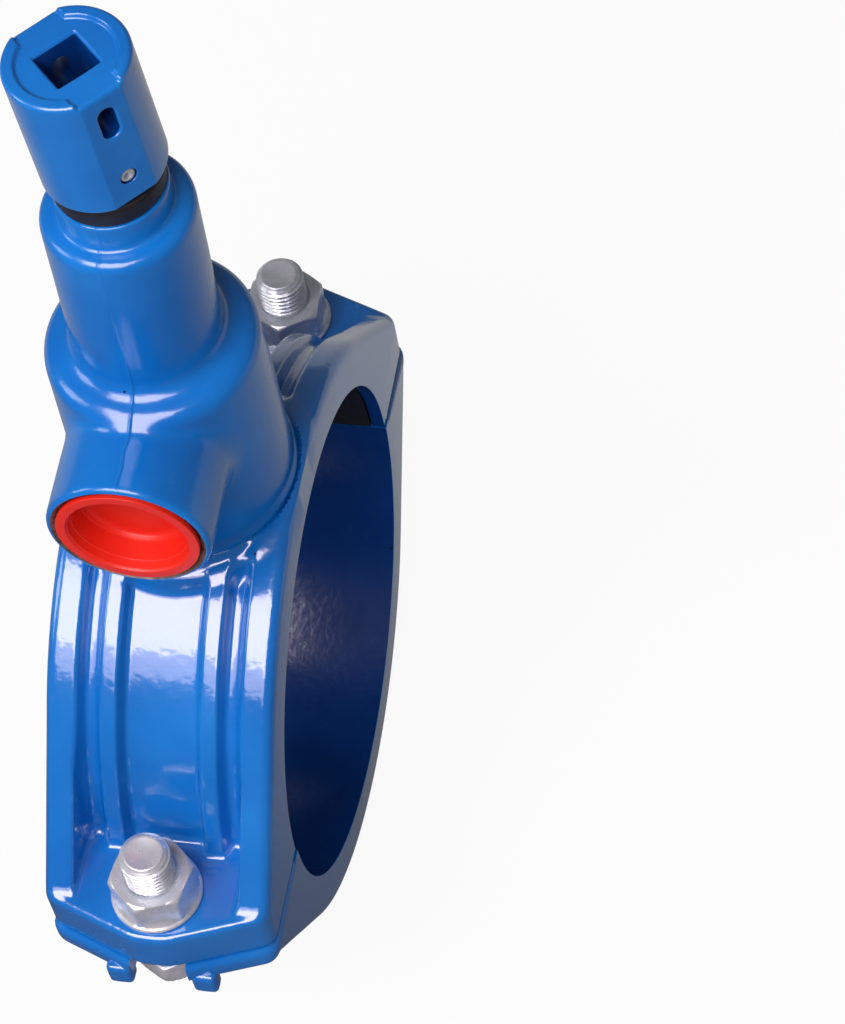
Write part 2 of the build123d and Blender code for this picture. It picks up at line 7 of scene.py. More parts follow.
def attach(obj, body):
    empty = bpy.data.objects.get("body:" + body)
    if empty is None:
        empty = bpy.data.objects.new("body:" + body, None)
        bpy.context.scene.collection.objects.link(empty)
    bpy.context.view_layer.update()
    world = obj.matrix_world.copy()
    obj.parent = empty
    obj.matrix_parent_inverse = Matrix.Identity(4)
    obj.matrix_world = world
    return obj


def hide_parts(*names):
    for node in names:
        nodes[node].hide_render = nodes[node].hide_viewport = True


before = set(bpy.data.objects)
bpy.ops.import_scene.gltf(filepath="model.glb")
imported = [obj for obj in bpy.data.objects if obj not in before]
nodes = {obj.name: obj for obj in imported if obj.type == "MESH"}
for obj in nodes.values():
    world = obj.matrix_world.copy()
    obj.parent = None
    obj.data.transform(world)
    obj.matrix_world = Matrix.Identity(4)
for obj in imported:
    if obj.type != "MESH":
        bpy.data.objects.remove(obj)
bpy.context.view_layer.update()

# ---------------------------------------------------------------- camera, floor and light
# A tapping saddle on a pale table, seen from above its front right, under one wide soft
# box to the left of the camera, a weak strip below that box and a weak one far to the left.
TURN, TILT, ROLL = np.radians([19.33, 57.15, -11.29])
CAMERA_PLACE = (0.274317, -0.578330, 1.028176)
CAMERA_LENS = 129.5
OBJECT_MIDDLE = Vector((0, 0, 0.1))
TABLE_Z = -0.0962
TABLE_HALF = 4
MM = 0.001


def linear(code):
    """Linear colour, with alpha, of an sRGB hex code."""
    values = np.array([int(code[i:i + 2], 16) / 255 for i in (1, 3, 5)])
    values = np.where(values <= 0.04045, values / 12.92, ((values + 0.055) / 1.055) ** 2.4)
    return (*values, 1.0)


def add(tree, kind, settings=None, **inputs):
    """Adds a node, sets its properties and fills or links its inputs, i3 being the fourth."""
    node = tree.nodes.new("ShaderNode" + kind)
    for key, value in (settings or {}).items():
        setattr(node, key, value)
    for key, value in inputs.items():
        numbered = key[0] == "i" and key[1:].isdigit()
        socket = node.inputs[int(key[1:]) if numbered else key.replace("_", " ")]
        if isinstance(value, bpy.types.NodeSocket):
            tree.links.new(value, socket)
        else:
            socket.default_value = value
    return node


def new_material(name):
    """An empty node material and its tree."""
    material = bpy.data.materials.new(name)
    material.use_nodes = True
    material.node_tree.nodes.clear()
    return material, material.node_tree


back = Vector((np.sin(TURN) * np.cos(TILT), -np.cos(TURN) * np.cos(TILT), np.sin(TILT)))
right = Vector((np.cos(TURN), np.sin(TURN), 0))
up = right.cross(-back)
across = right * np.cos(ROLL) + up * np.sin(ROLL)
upward = up * np.cos(ROLL) - right * np.sin(ROLL)
camera = bpy.data.objects.new("camera", bpy.data.cameras.new("camera"))
camera.data.sensor_fit = "VERTICAL"
camera.data.sensor_height = 36
camera.data.lens = CAMERA_LENS
camera.data.clip_end = 20
camera.matrix_world = Matrix((
    (across.x, upward.x, back.x, CAMERA_PLACE[0]),
    (across.y, upward.y, back.y, CAMERA_PLACE[1]),
    (across.z, upward.z, back.z, CAMERA_PLACE[2]),
    (0, 0, 0, 1)))
bpy.context.scene.collection.objects.link(camera)
bpy.context.scene.camera = camera
bpy.context.scene.view_settings.view_transform = "Standard"


def soft_box(name, azimuth, height, distance, size, power, colour):
    """Rectangular lamp that looks at the middle of the object from the given direction."""
    lamp = bpy.data.lights.new(name, "AREA")
    lamp.shape = "RECTANGLE"
    lamp.size, lamp.size_y = size
    lamp.energy = power
    lamp.color = linear(colour)[:3]
    azimuth, height = np.radians([azimuth, height])
    way = Vector((np.cos(azimuth) * np.cos(height), np.sin(azimuth) * np.cos(height), np.sin(height)))
    facing = way.to_track_quat("Z", "Y").to_matrix().to_4x4()
    piece = bpy.data.objects.new(name, lamp)
    piece.matrix_world = Matrix.Translation(OBJECT_MIDDLE + way * distance) @ facing
    bpy.context.scene.collection.objects.link(piece)


soft_box("key soft box", -106, 57, 1.5, (1.2, 0.8), 24, "#ffeff6")
soft_box("lower edge of the key", -106, 37, 1.5, (1.2, 0.34), 3.6, "#ffeff6")
soft_box("left fill", -165, 30, 2.0, (0.6, 0.9), 6, "#fffdf8")

world = bpy.data.worlds.new("studio")
world.use_nodes = True
bpy.context.scene.world = world
tree = world.node_tree
tree.nodes.clear()
path = add(tree, "LightPath")
seen = add(tree, "Math", {"operation": "MAXIMUM"},
           i0=path.outputs["Is Camera Ray"], i1=path.outputs["Is Transmission Ray"])
dim = add(tree, "Background", Color=linear("#f4f6fb"), Strength=0.12)
white = add(tree, "Background", Color=(1, 1, 1, 1), Strength=1.0)
mixed = add(tree, "MixShader", Fac=seen.outputs[0], i1=dim.outputs[0], i2=white.outputs[0])
add(tree, "OutputWorld", Surface=mixed.outputs[0])

# Matt white paint: a pale, even ground with a soft shadow.  In the gloss of the piece it shows as a darker
# grey that glows faintly, more behind the object than in front: a painted reflection, its dim front
# standing for the shade on the table in front of the object.
pale_table, tree = new_material("pale_painted_table")
path = add(tree, "LightPath")
place = add(tree, "SeparateXYZ", Vector=add(tree, "TexCoord").outputs["Object"])
behind = add(tree, "MapRange", i0=place.outputs[1], i1=-0.1, i2=0.2, i3=0.04, i4=0.38)
mirrored = add(tree, "Math", {"operation": "MULTIPLY"},
               i0=path.outputs["Is Glossy Ray"], i1=behind.outputs[0])
seen = add(tree, "Math", {"operation": "MULTIPLY"}, i0=path.outputs["Is Camera Ray"], i1=0.93)
share = add(tree, "Math", {"operation": "MAXIMUM"}, i0=seen.outputs[0], i1=mirrored.outputs[0])
tone = add(tree, "Mix", {"data_type": "RGBA"},
           i0=path.outputs["Is Glossy Ray"], i6=linear("#eaeaea"), i7=linear("#343434"))
paint = add(tree, "BsdfDiffuse", Color=tone.outputs[2])
glow = add(tree, "Emission", Color=(1, 1, 1, 1), Strength=1.0)
mixed = add(tree, "MixShader", Fac=share.outputs[0], i1=paint.outputs[0], i2=glow.outputs[0])
add(tree, "OutputMaterial", Surface=mixed.outputs[0])
table = bpy.data.meshes.new("table")
corners = [(x * TABLE_HALF, y * TABLE_HALF, TABLE_Z) for x, y in ((-1, -1), (1, -1), (1, 1), (-1, 1))]
table.from_pydata(corners, [], [(0, 1, 2, 3)])
table.materials.append(pale_table)
table = bpy.data.objects.new("table", table)
bpy.context.scene.collection.objects.link(table)

# ---------------------------------------------------------------- upper half clamp
# Grey iron, sand cast in two halves, shot blasted and dipped hot into blue epoxy powder.
# The powder flows before it sets, so every edge is round and the skin has a slight peel.
HALF_WIDTH = 36.0
CROWN_R = 96.0
FIELD_R = 91.2
RIB_R = 95.7
RIB_MIDDLE, RIB_HALF, RIB_DRAFT = 15.8, 2.6, 0.42
RIM_FOOT, RIM_DRAFT, RIM_INNER = 24.0, 0.36, 26.2
RIB_ROUND, RIB_ROOT = 0.9, 1.3
RIM_ROUND, RIM_ROOT = 1.5, 1.6
EAR_ROUND, EAR_ROOT = 2.6, 2.4
SIDE_ROUND = 4.4
EAR_HEIGHT = 18.1
EAR_Y = 112.4
EAR_NOSE = (5.0, 125.2)
EAR_SHOULDER = (36.0, 113.6)
PLATEAU_R = 38.4
PARTING_ROUND = 1.4
PEEL = 0.05
SEAT_R, SEAT_Z = 34.3, 94.3
SOCKET = [(0, 70), (22, 70), (22, 86.8), (29.8, 86.8), (29.8, 110), (0, 110)]
BORE_R = 80.4
RECESS_R, RECESS_HALF = 84.0, 31.0
BOLT_Y = 108.4


def join(a, b, soft):
    """Union of two distances: the smaller one, rounded where they come within `soft`."""
    near = np.maximum(soft - np.abs(a - b), 0) / soft
    return np.minimum(a, b) - near ** 2 * soft / 4


def keep(a, b, soft):
    """Common part of two distances: the larger one, rounded where they come within `soft`."""
    return -join(-a, -b, soft)


def clamp_distance(x, y, z, crown_r, ear_height, ear_reach, half_width):
    """Distance outside a half clamp above z = 0, from a few plain forms that run softly together.

    Field: distance from the pipe's axis less the field's radius.  Ribs: the same with their
    own radius, kept within leaning walls.  Rims: crown arc that leaves for the ear along its
    tangent, kept outside a leaning wall.  Ear: a flat slab with a blunt nose.  A product of
    two slow sines makes the cast skin uneven.
    """
    x, y = np.abs(x), np.abs(y)
    r = np.hypot(y, z)
    turn = np.arctan2(ear_height, EAR_Y) + np.arccos(crown_r / np.hypot(EAR_Y, ear_height))
    flank = np.cos(turn) * y + np.sin(turn) * z - crown_r
    crown = np.where(np.arctan2(z, y) < turn, flank, r - crown_r)
    crown = keep(crown, y - EAR_Y - 0.4, RIM_ROUND)
    rib = keep(r - RIB_R, np.abs(x - RIB_MIDDLE) - RIB_HALF - RIB_DRAFT * (RIB_R - r), RIB_ROUND)
    shape = join(r - FIELD_R, rib, RIB_ROOT)
    wall = np.minimum(RIM_FOOT + RIM_DRAFT * (r - FIELD_R), RIM_INNER)
    shape = join(shape, keep(crown, wall - x, RIM_ROUND), RIM_ROOT)
    slope = np.array([EAR_NOSE[1] - EAR_SHOULDER[1], EAR_SHOULDER[0] - EAR_NOSE[0]])
    slope /= np.hypot(*slope)
    slant = slope[0] * (x - EAR_NOSE[0]) + slope[1] * (y - EAR_NOSE[1] - ear_reach)
    nose = keep(y - EAR_NOSE[1] - ear_reach, slant, 1.2)
    shape = join(shape, keep(nose, z - ear_height, EAR_ROUND), EAR_ROOT)
    waves = np.sin(x / 7.3 + y / 11.9) * np.sin(z / 9.1 - y / 17.3)
    return keep(shape - PEEL * waves, x - half_width, SIDE_ROUND)


def upper_distance(x, y, z):
    """The half clamp with its round patch and the flat seat of the valve, cut off at z = 0."""
    plain = clamp_distance(x, y, z, CROWN_R, EAR_HEIGHT, 0.0, HALF_WIDTH)
    reach = np.hypot(x, y)
    patch = keep(np.hypot(y, z) - CROWN_R, reach - PLATEAU_R, EAR_ROUND)
    patch = keep(patch, np.abs(x) - HALF_WIDTH, SIDE_ROUND)
    seat = keep(reach - SEAT_R, z - SEAT_Z, 1.0)
    shape = join(join(plain, patch, 3.2), seat, 2.4)
    cleared = keep(reach - SEAT_R - 0.4, SEAT_Z - z, 0.3)
    return keep(keep(shape, -cleared, 0.8), -z, PARTING_ROUND)


def outward(distance, start, way, near, far):
    """Point on each ray where the distance changes sign, found by halving 30 times."""
    low = np.full(way.shape[:-1], float(near))
    high = np.full(way.shape[:-1], float(far))
    for _ in range(30):
        middle = (low + high) / 2
        point = start + middle[..., None] * way
        inside = distance(point[..., 0], point[..., 1], point[..., 2]) < 0
        low, high = np.where(inside, middle, low), np.where(inside, high, middle)
    return start + low[..., None] * way


def even_steps(surface, values, probes, count):
    """Values of one parameter at which a surface takes even steps, bends counted as length."""
    points = surface(values, probes)
    step = np.diff(points, axis=0)
    length = np.linalg.norm(step, axis=-1)
    way = step / np.maximum(length, 1e-9)[..., None]
    bend = np.linalg.norm(np.diff(way, axis=0, prepend=way[:1]), axis=-1)
    travel = np.concatenate([[0], np.cumsum((length + 2.2 * np.minimum(bend, 0.5)).max(axis=1))])
    return np.interp(np.linspace(0, travel[-1], count), travel, values)


def grid_faces(rows, columns, start, round_columns):
    """Vertex numbers of the four-sided faces of a grid, as one array."""
    last = columns if round_columns else columns - 1
    i, j = np.meshgrid(np.arange(rows - 1), np.arange(last), indexing="ij")
    k = (j + 1) % columns
    row, after = i * columns, (i + 1) * columns
    return np.stack([row + j, row + k, after + k, after + j], axis=-1).reshape(-1, 4) + start


def solid(name, sheets, crease=35):
    """Closed mesh object from grids of points in millimetres, joined along their borders.

    Each sheet is (points, whether its columns close into a ring).
    """
    points, faces, start = [], [], 0
    for sheet, round_columns in sheets:
        rows, columns = sheet.shape[:2]
        points.append(sheet.reshape(-1, 3))
        faces.append(grid_faces(rows, columns, start, round_columns))
        start += rows * columns
    points, faces = np.concatenate(points) * MM, np.concatenate(faces)
    mesh = bpy.data.meshes.new(name)
    mesh.vertices.add(len(points))
    mesh.vertices.foreach_set("co", points.astype(np.float32).ravel())
    mesh.loops.add(faces.size)
    mesh.loops.foreach_set("vertex_index", faces.astype(np.int32).ravel())
    mesh.polygons.add(len(faces))
    mesh.polygons.foreach_set("loop_start", np.arange(0, faces.size, 4, dtype=np.int32))
    mesh.update(calc_edges=True)
    piece = bmesh.new()
    piece.from_mesh(mesh)
    bmesh.ops.remove_doubles(piece, verts=piece.verts, dist=2e-6)
    bmesh.ops.dissolve_degenerate(piece, edges=piece.edges, dist=1e-7)
    bmesh.ops.recalc_face_normals(piece, faces=piece.faces)
    piece.to_mesh(mesh)
    piece.free()
    shade(mesh, crease)
    obj = bpy.data.objects.new(name, mesh)
    bpy.context.scene.collection.objects.link(obj)
    return obj


def shade(mesh, crease):
    """Smooth shading, with a hard edge where faces meet at more than the given angle."""
    mesh.polygons.foreach_set("use_smooth", np.ones(len(mesh.polygons), bool))
    mesh.set_sharp_from_angle(angle=np.radians(crease))
    mesh.update()


def combine(obj, tool, operation, crease=35):
    """Cuts the tool out of the object, or joins it on, and throws the tool away."""
    modifier = obj.modifiers.new("combine", "BOOLEAN")
    modifier.solver = "MANIFOLD"
    modifier.operation = operation
    modifier.object = tool
    bpy.context.view_layer.update()
    evaluated = obj.evaluated_get(bpy.context.evaluated_depsgraph_get())
    result = bpy.data.meshes.new_from_object(evaluated)
    obj.modifiers.clear()
    obj.data = result
    bpy.data.objects.remove(tool)
    shade(result, crease)


def finish_piece(obj, body, slot, materials, *replaced):
    """Gives a piece its materials, and says what it rides on and stands for.  Its slot is not used."""
    obj.data.materials.clear()
    for material in materials:
        obj.data.materials.append(material)
    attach(obj, body)
    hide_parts(*replaced)


def clamp_sheets(distance, half_width, inner_r, low_turn, rows, columns):
    """Outer skin, bore, side faces and parting faces of a half clamp over z = 0.

    The skin is r(angle round the pipe, place along it), cast outwards from the pipe's
    axis.  The bore is a radius over the same grid, so the other faces only join borders.
    """
    def skin(turns, places):
        turns, places = np.meshgrid(turns, places, indexing="ij")
        start = np.stack([places, 0 * places, 0 * places], axis=-1)
        way = np.stack([0 * places, -np.cos(turns), np.sin(turns)], axis=-1)
        return outward(distance, start, way, 84, 150)

    fine, coarse = np.linspace(low_turn, 14, 2400), np.linspace(14.01, 90, 900)
    quarter = np.radians(np.concatenate([fine, coarse]))
    edge = half_width - 0.02
    turns = even_steps(skin, quarter, np.array([0, 9, 16, 22, 28, edge - 1]), rows // 2 + 1)
    turns = np.concatenate([turns, np.pi - turns[-2::-1]])
    half = even_steps(lambda places, probes: skin(probes, places).transpose(1, 0, 2),
                      np.linspace(0, edge, 1500), np.radians([9.5, 14, 22, 60]), columns // 2 + 1)
    places = np.concatenate([-half[::-1], half[1:]])
    outer = skin(turns, places)
    radius = np.broadcast_to(inner_r(np.abs(places)), outer.shape[:2])
    bore = np.stack([np.broadcast_to(places, outer.shape[:2]),
                     -radius * np.cos(turns)[:, None], radius * np.sin(turns)[:, None]], axis=-1)
    for side, x in ((0, -half_width), (-1, half_width)):
        outer[:, side, 0] = x
        bore[:, side, 0] = x
    outer[0, :, 2] = outer[-1, :, 2] = 0
    bore[0, :, 2] = bore[-1, :, 2] = 0
    sheets = [(outer, False), (bore, False)]
    sheets += [(np.stack([outer[:, side], bore[:, side]]), False) for side in (0, -1)]
    sheets += [(np.stack([outer[end], bore[end]]), False) for end in (0, -1)]
    return sheets


def turned_sheet(profile, count, centre=(0, 0, 0), axis="z", phase=0.0):
    """Grid of a profile of (radius, height) pairs turned about an axis through the centre."""
    radius, height = np.array(profile, float).T
    turns = np.linspace(0, 2 * np.pi, count, endpoint=False) + phase
    a = radius[:, None] * np.cos(turns)
    b = radius[:, None] * np.sin(turns)
    h = np.broadcast_to(height[:, None], a.shape)
    parts = (a, b, h) if axis == "z" else (a, h, b)
    return np.stack(parts, axis=-1) + np.array(centre, float)


def smooth_profile(corners, steps=7):
    """Profile through (radius, height, rounding) corners, each rounded by a parabola."""
    corners = [np.array(corner, float) for corner in corners]
    profile = [corners[0][:2]]
    t = np.linspace(0, 1, steps)[:, None]
    for before, corner, after in zip(corners, corners[1:], corners[2:]):
        p, size = corner[:2], corner[2]
        a, b = before[:2] - p, after[:2] - p
        if size == 0:
            profile.append(p)
            continue
        first = p + a * min(size / np.hypot(*a), 0.5)
        last = p + b * min(size / np.hypot(*b), 0.5)
        profile.extend((1 - t) ** 2 * first + 2 * t * (1 - t) * p + t ** 2 * last)
    profile.append(corners[-1][:2])
    return np.array(profile)


def blue_epoxy(name, shift, scuffs, haze, coat, tones=("#066bbf", "#0d7acd")):
    """Fusion-bonded epoxy powder on cast iron: glossy and deep blue, with a faint orange peel.

    The tone drifts over 45 mm and pale scuffs over 14 mm.  The peel is 2.5 mm across on a
    swell of 4 mm.  Pits a millimetre wide lie in one of seven cells of 9 mm.
    """
    material, tree = new_material(name)
    place = add(tree, "TexCoord").outputs["Object"]
    place = add(tree, "Mapping", Vector=place, Location=shift).outputs[0]
    cloud = add(tree, "TexNoise", Vector=place, Scale=22.0, Detail=3.0, Roughness=0.55).outputs["Fac"]
    colour = add(tree, "ValToRGB", Fac=cloud)
    colour.color_ramp.elements[0].position = 0.35
    colour.color_ramp.elements[0].color = linear(tones[0])
    colour.color_ramp.elements[1].position = 0.68
    colour.color_ramp.elements[1].color = linear(tones[1])
    dots = add(tree, "TexVoronoi", Vector=place, Scale=110.0)
    near = add(tree, "Math", {"operation": "LESS_THAN"}, i0=dots.outputs["Distance"], i1=0.06)
    pick = add(tree, "SeparateColor", Color=dots.outputs["Color"])
    few = add(tree, "Math", {"operation": "GREATER_THAN"}, i0=pick.outputs[0], i1=0.86)
    pits = add(tree, "Math", {"operation": "MULTIPLY"}, i0=near.outputs[0], i1=few.outputs[0]).outputs[0]
    tinted = add(tree, "Mix", {"data_type": "RGBA"}, i0=pits, i6=colour.outputs[0], i7=linear("#06193f"))
    rubs = add(tree, "TexNoise", Vector=place, Scale=70.0, Detail=6.0, Roughness=0.75).outputs["Fac"]
    rubs = add(tree, "MapRange", i0=rubs, i1=0.63, i2=0.8, i3=0.0, i4=scuffs).outputs[0]
    dusty = add(tree, "Mix", {"data_type": "RGBA"}, i0=rubs, i6=tinted.outputs[2], i7=linear("#5f8fc8"))
    gloss = add(tree, "MapRange", i0=cloud, i1=0.3, i2=0.7, i3=0.16, i4=0.27).outputs[0]
    peel = add(tree, "TexNoise", Vector=place, Scale=400.0, Detail=1.5, Roughness=0.5).outputs["Fac"]
    swell = add(tree, "TexNoise", Vector=place, Scale=240.0, Detail=1.0, Roughness=0.5).outputs["Fac"]
    bump = add(tree, "Bump", Strength=0.5, Distance=0.00012, Height=peel)
    bump = add(tree, "Bump", Strength=0.1, Distance=0.0004, Height=swell, Normal=bump.outputs[0])
    bump = add(tree, "Bump", {"invert": True}, Strength=0.6, Distance=0.0003, Height=pits,
               Normal=bump.outputs[0])
    skin = add(tree, "BsdfPrincipled", Base_Color=dusty.outputs[2], Roughness=gloss, Normal=bump.outputs[0],
               Coat_Weight=coat, Coat_Roughness=haze, Coat_IOR=1.7, Coat_Normal=bump.outputs[0])
    add(tree, "OutputMaterial", Surface=skin.outputs[0])
    return material


# The full coat mirrors the lamps sharply.  A dark navy copy with little coat goes on the bores, the recess
# and the cap's socket: painted shade, for the shade that falls inside them.
clamp_epoxy = blue_epoxy("blue_fused_epoxy_on_iron", (0, 0, 0), 0.35, 0.1, 1.0)
painted_shade_epoxy = blue_epoxy("epoxy_darkened_as_painted_shade", (0.2, 0, 0.1), 0.1, 0.4, 0.1,
                        ("#013070", "#033b84"))


def give_recess_second_material(obj, inside):
    """Gives the piece's second material to the faces whose middle lies in a recess: on the clamps and the
    cap that is the painted shade, on the valve the bare turned iron of the outlet's mouth.
    """
    middles = np.empty(len(obj.data.polygons) * 3, np.float32)
    obj.data.polygons.foreach_get("center", middles)
    chosen = inside(*(middles.reshape(-1, 3) / MM).T)
    obj.data.polygons.foreach_set("material_index", chosen.astype(np.int32))


sheets = clamp_sheets(upper_distance, HALF_WIDTH,
                      lambda x: np.where(x < RECESS_HALF, RECESS_R, BORE_R), 0.02, 270, 160)
upper = solid("upper_half_casting", sheets)
combine(upper, solid("socket", [(turned_sheet(SOCKET, 96), True)]), "DIFFERENCE")
finish_piece(upper, "saddle", "blue_casting", [clamp_epoxy, painted_shade_epoxy], "upper_saddle")
# The bore and its recess take the dark navy copy of the epoxy: painted shade.
give_recess_second_material(upper, lambda x, y, z: (np.hypot(y, z) < RECESS_R + 0.2) & (np.abs(x) < HALF_WIDTH - 0.1))

# ---------------------------------------------------------------- lower half clamp
# The same casting without the valve seat.  Its ears are open slots, so that a bolt can be
# swung in from the side, and two lugs under each mouth hold the bolt's head.
LOWER_CROWN_R = 95.5
LOWER_EAR = 9.6
LOWER_HALF_WIDTH = 36.5
LOWER_BORE_R = 80.0
LOWER_ROUND = 3.2
EAR_REACH = 1.8
GAP = 0.6
SLOT_HALF, SLOT_FLARE, SLOT_MOUTH = 9.0, 2.6, 124.2
LUG_X, LUG_Y, LUG_Z, LUG_ROUND = (9.6, 17.8), (119.2, 125.4), (-16.0, -6.0), 1.9


def lower_distance(x, y, z):
    """The lower half, drawn upwards from z = 0 and turned over when its mesh is made."""
    plain = clamp_distance(x, y, z, LOWER_CROWN_R, LOWER_EAR, EAR_REACH, LOWER_HALF_WIDTH)
    return keep(plain, GAP - z, LOWER_ROUND)


def round_block(name, low, high, edge):
    """Box with round edges: a ball's directions pushed out to the box, kept near its corners."""
    low, high = np.array(low, float), np.array(high, float)
    lat = np.linspace(-np.pi / 2, np.pi / 2, 41)[:, None]
    lon = np.linspace(-np.pi, np.pi, 80, endpoint=False) + np.pi / 80
    ball = np.stack([np.cos(lat) * np.cos(lon), np.cos(lat) * np.sin(lon), np.sin(lat) + 0 * lon], axis=-1)
    core = (high - low) / 2 - edge
    corner = np.clip(3.2 * ball, -1, 1) * core
    return solid(name, [((low + high) / 2 + corner + edge * ball, True)])


def bolt_slot(side):
    """Tool for the open slot of an ear: round at its inner end and flared at its mouth."""
    turns = np.linspace(np.pi, 0, 40)
    mouth = np.linspace(0, 1, 12)
    flare = 1 - np.sqrt(1 - mouth ** 2)
    half = SLOT_HALF + SLOT_FLARE * np.concatenate([flare, [1]])
    along = np.concatenate([SLOT_MOUTH + SLOT_FLARE * mouth, [140]])
    x = np.concatenate([SLOT_HALF * np.cos(turns), half, -half[::-1]])
    y = np.concatenate([BOLT_Y - SLOT_HALF * np.sin(turns), along, along[::-1]])
    outline = np.stack([x, side * y, 0 * x], axis=-1)
    middle = np.broadcast_to(np.array([0, side * 118.0, 0]), outline.shape)
    below, above = np.array([0, 0, -40]), np.array([0, 0, 1])
    rings = np.array([middle + below, outline + below, outline + above, middle + above])
    return solid("slot", [(rings, True)])


sheets = clamp_sheets(lower_distance, LOWER_HALF_WIDTH, lambda x: LOWER_BORE_R + 0 * x, 0.435, 260, 150)
sheets = [(sheet * np.array([1, 1, -1.0]), ring) for sheet, ring in sheets]
for sheet, _ in sheets:
    sheet[..., 2] = np.where(sheet[..., 2] > -GAP - 0.05, -GAP, sheet[..., 2])
lower = solid("lower_half_casting", sheets)
for side in (-1, 1):
    for edge in (-1, 1):
        x = sorted(edge * value for value in LUG_X)
        y = sorted(side * value for value in LUG_Y)
        lug = round_block("lug", (x[0], y[0], LUG_Z[0]), (x[1], y[1], LUG_Z[1]), LUG_ROUND)
        combine(lower, lug, "UNION")
for side in (-1, 1):
    combine(lower, bolt_slot(side), "DIFFERENCE")
finish_piece(lower, "saddle", "blue_casting", [clamp_epoxy, painted_shade_epoxy], "lower_saddle")
# The bore takes the dark navy copy of the epoxy: painted shade.
give_recess_second_material(lower, lambda x, y, z: ((np.hypot(y, z) < LOWER_BORE_R + 0.2)
                                    & (np.abs(x) < LOWER_HALF_WIDTH - 0.1) & (z < -GAP - 0.1)))

# ---------------------------------------------------------------- valve body
# One more casting in the same epoxy: round chamber, sloping shoulder, tapered neck and a
# side boss.  The mould's parting shows as a thin raised line down the front.
OUTLET_Z = 137.8
BOSS_R, BOSS_FACE = 24.6, 53.4
BORE_MOUTH_R, THREAD_R = 23.1, 20.9
BODY_FOOT_R, BODY_FOOT_Z = 33.9, 96.6
SHOULDER_R, SHOULDER_Z, SHOULDER_SLOPE = 32.1, 164.8, 0.28
NECK_R, NECK_Z = 22.3, 227.2
COLLAR_R, COLLAR_Z = 16.4, 237.0
NECK_SHIFT = (1.1, 0.4)
SEAM_X, SEAM_HALF, SEAM_RISE = 0.45, 0.4, 0.1
CHAMBER = [(0, 90), (20, 90), (20, 98), (25, 98), (25, 150), (12, 161), (12, 190), (0, 190)]


def body_distance(x, y, z):
    """Turned foot, wall, neck and collar, each the distance from the axis kept below a top.

    The shoulder's top slopes, the wall tapers, and the boss is a level cylinder run softly
    into them.  The top of the neck stands a millimetre off the axis, as the core shifted in
    the mould.  The seam is a bell-shaped ridge along a wavy line, higher below the neck.
    """
    lift = np.clip((z - 185) / 40, 0, 1)
    r = np.hypot(x - NECK_SHIFT[0] * lift, y - NECK_SHIFT[1] * lift)
    wall = 32.9 - 0.8 * (z - 98) / 64.5
    low = keep(r - wall, z - SHOULDER_Z - SHOULDER_SLOPE * (SHOULDER_R - r), 4.6)
    low = join(low, keep(r - BODY_FOOT_R, z - BODY_FOOT_Z, 1.6), 2.6)
    shape = join(low, keep(r - NECK_R, z - NECK_Z, 4.0), 4.5)
    shape = join(shape, keep(r - COLLAR_R, z - COLLAR_Z, 0.8), 2.4)
    boss = keep(np.hypot(x, z - OUTLET_Z) - BOSS_R, -y - BOSS_FACE, 2.2)
    shape = join(shape, keep(boss, y, 0.5), 3.6)
    line = SEAM_X + 0.22 * np.sin(y / 2.9 + z / 5.3) + 0.12 * np.sin(y / 1.3 - z / 2.1)
    raised = SEAM_RISE * (1 + 2 * np.clip((185 - z) / 12, 0, 1))
    ridge = raised * np.exp(-((x - line) / SEAM_HALF) ** 2)
    seam = ridge * (y < 0) * (z > 100) * (-y < BOSS_FACE - 1)
    ripple = 0.06 * np.sin(z / 8.3 + x / 6.1) * np.sin(x / 9.7 - y / 7.9)
    return keep(shape - seam - ripple, SEAT_Z - z, 0.5)


def body_skin(tilts, azimuths):
    """Surface met by rays from the middle of the outlet's axis; tilt 0 looks straight up."""
    tilts, azimuths = np.meshgrid(tilts, azimuths, indexing="ij")
    level = np.sin(tilts)
    way = np.stack([level * np.sin(azimuths), -level * np.cos(azimuths), np.cos(tilts)], axis=-1)
    return outward(body_distance, np.array([0, 0, OUTLET_Z]), way, 10, 130)


tilts = even_steps(body_skin, np.linspace(0, np.pi, 3000), np.array([0, 0.3, 0.42, 1.2, 3.1]), 250)
front = np.linspace(-0.55, 0.55, 160)
sides = np.linspace(0.55, 2 * np.pi - 0.55, 172)[1:-1]
skin = body_skin(tilts, np.concatenate([front, sides]))
valve = solid("valve_body_casting", [(skin, True)])
bore = [(0, -60), (BORE_MOUTH_R, -60), (BORE_MOUTH_R, -53.3), (THREAD_R, -51.2), (THREAD_R, -20), (0, -20)]
bore = turned_sheet(bore, 144, (0, 0, OUTLET_Z), "y")
combine(valve, solid("bore", [(bore, True)]), "DIFFERENCE", 40)
combine(valve, solid("chamber", [(turned_sheet(CHAMBER, 128), True)]), "DIFFERENCE", 40)

# Turned grey iron: dull brownish metal, blotched over 4 mm by the damp it has had.
machined_iron, tree = new_material("turned_bare_grey_iron")
place = add(tree, "TexCoord").outputs["Object"]
cloud = add(tree, "TexNoise", Vector=place, Scale=260.0, Detail=5.0, Roughness=0.7).outputs["Fac"]
colour = add(tree, "ValToRGB", Fac=cloud)
colour.color_ramp.elements[0].position = 0.35
colour.color_ramp.elements[0].color = linear("#5c5148")
colour.color_ramp.elements[1].position = 0.7
colour.color_ramp.elements[1].color = linear("#b9ad9c")
metal = add(tree, "BsdfPrincipled", Base_Color=colour.outputs[0], Metallic=0.75, Roughness=0.42)
add(tree, "OutputMaterial", Surface=metal.outputs[0])

valve_epoxy = blue_epoxy("blue_fused_epoxy_on_valve", (0.11, 0.07, 0.02), 0.2, 0.16, 0.45)
finish_piece(valve, "saddle", "blue_casting", [valve_epoxy, machined_iron], "valve_body")
give_recess_second_material(valve, lambda x, y, z: (np.hypot(x, z - OUTLET_Z) < BORE_MOUTH_R - 0.05) & (y < -19))

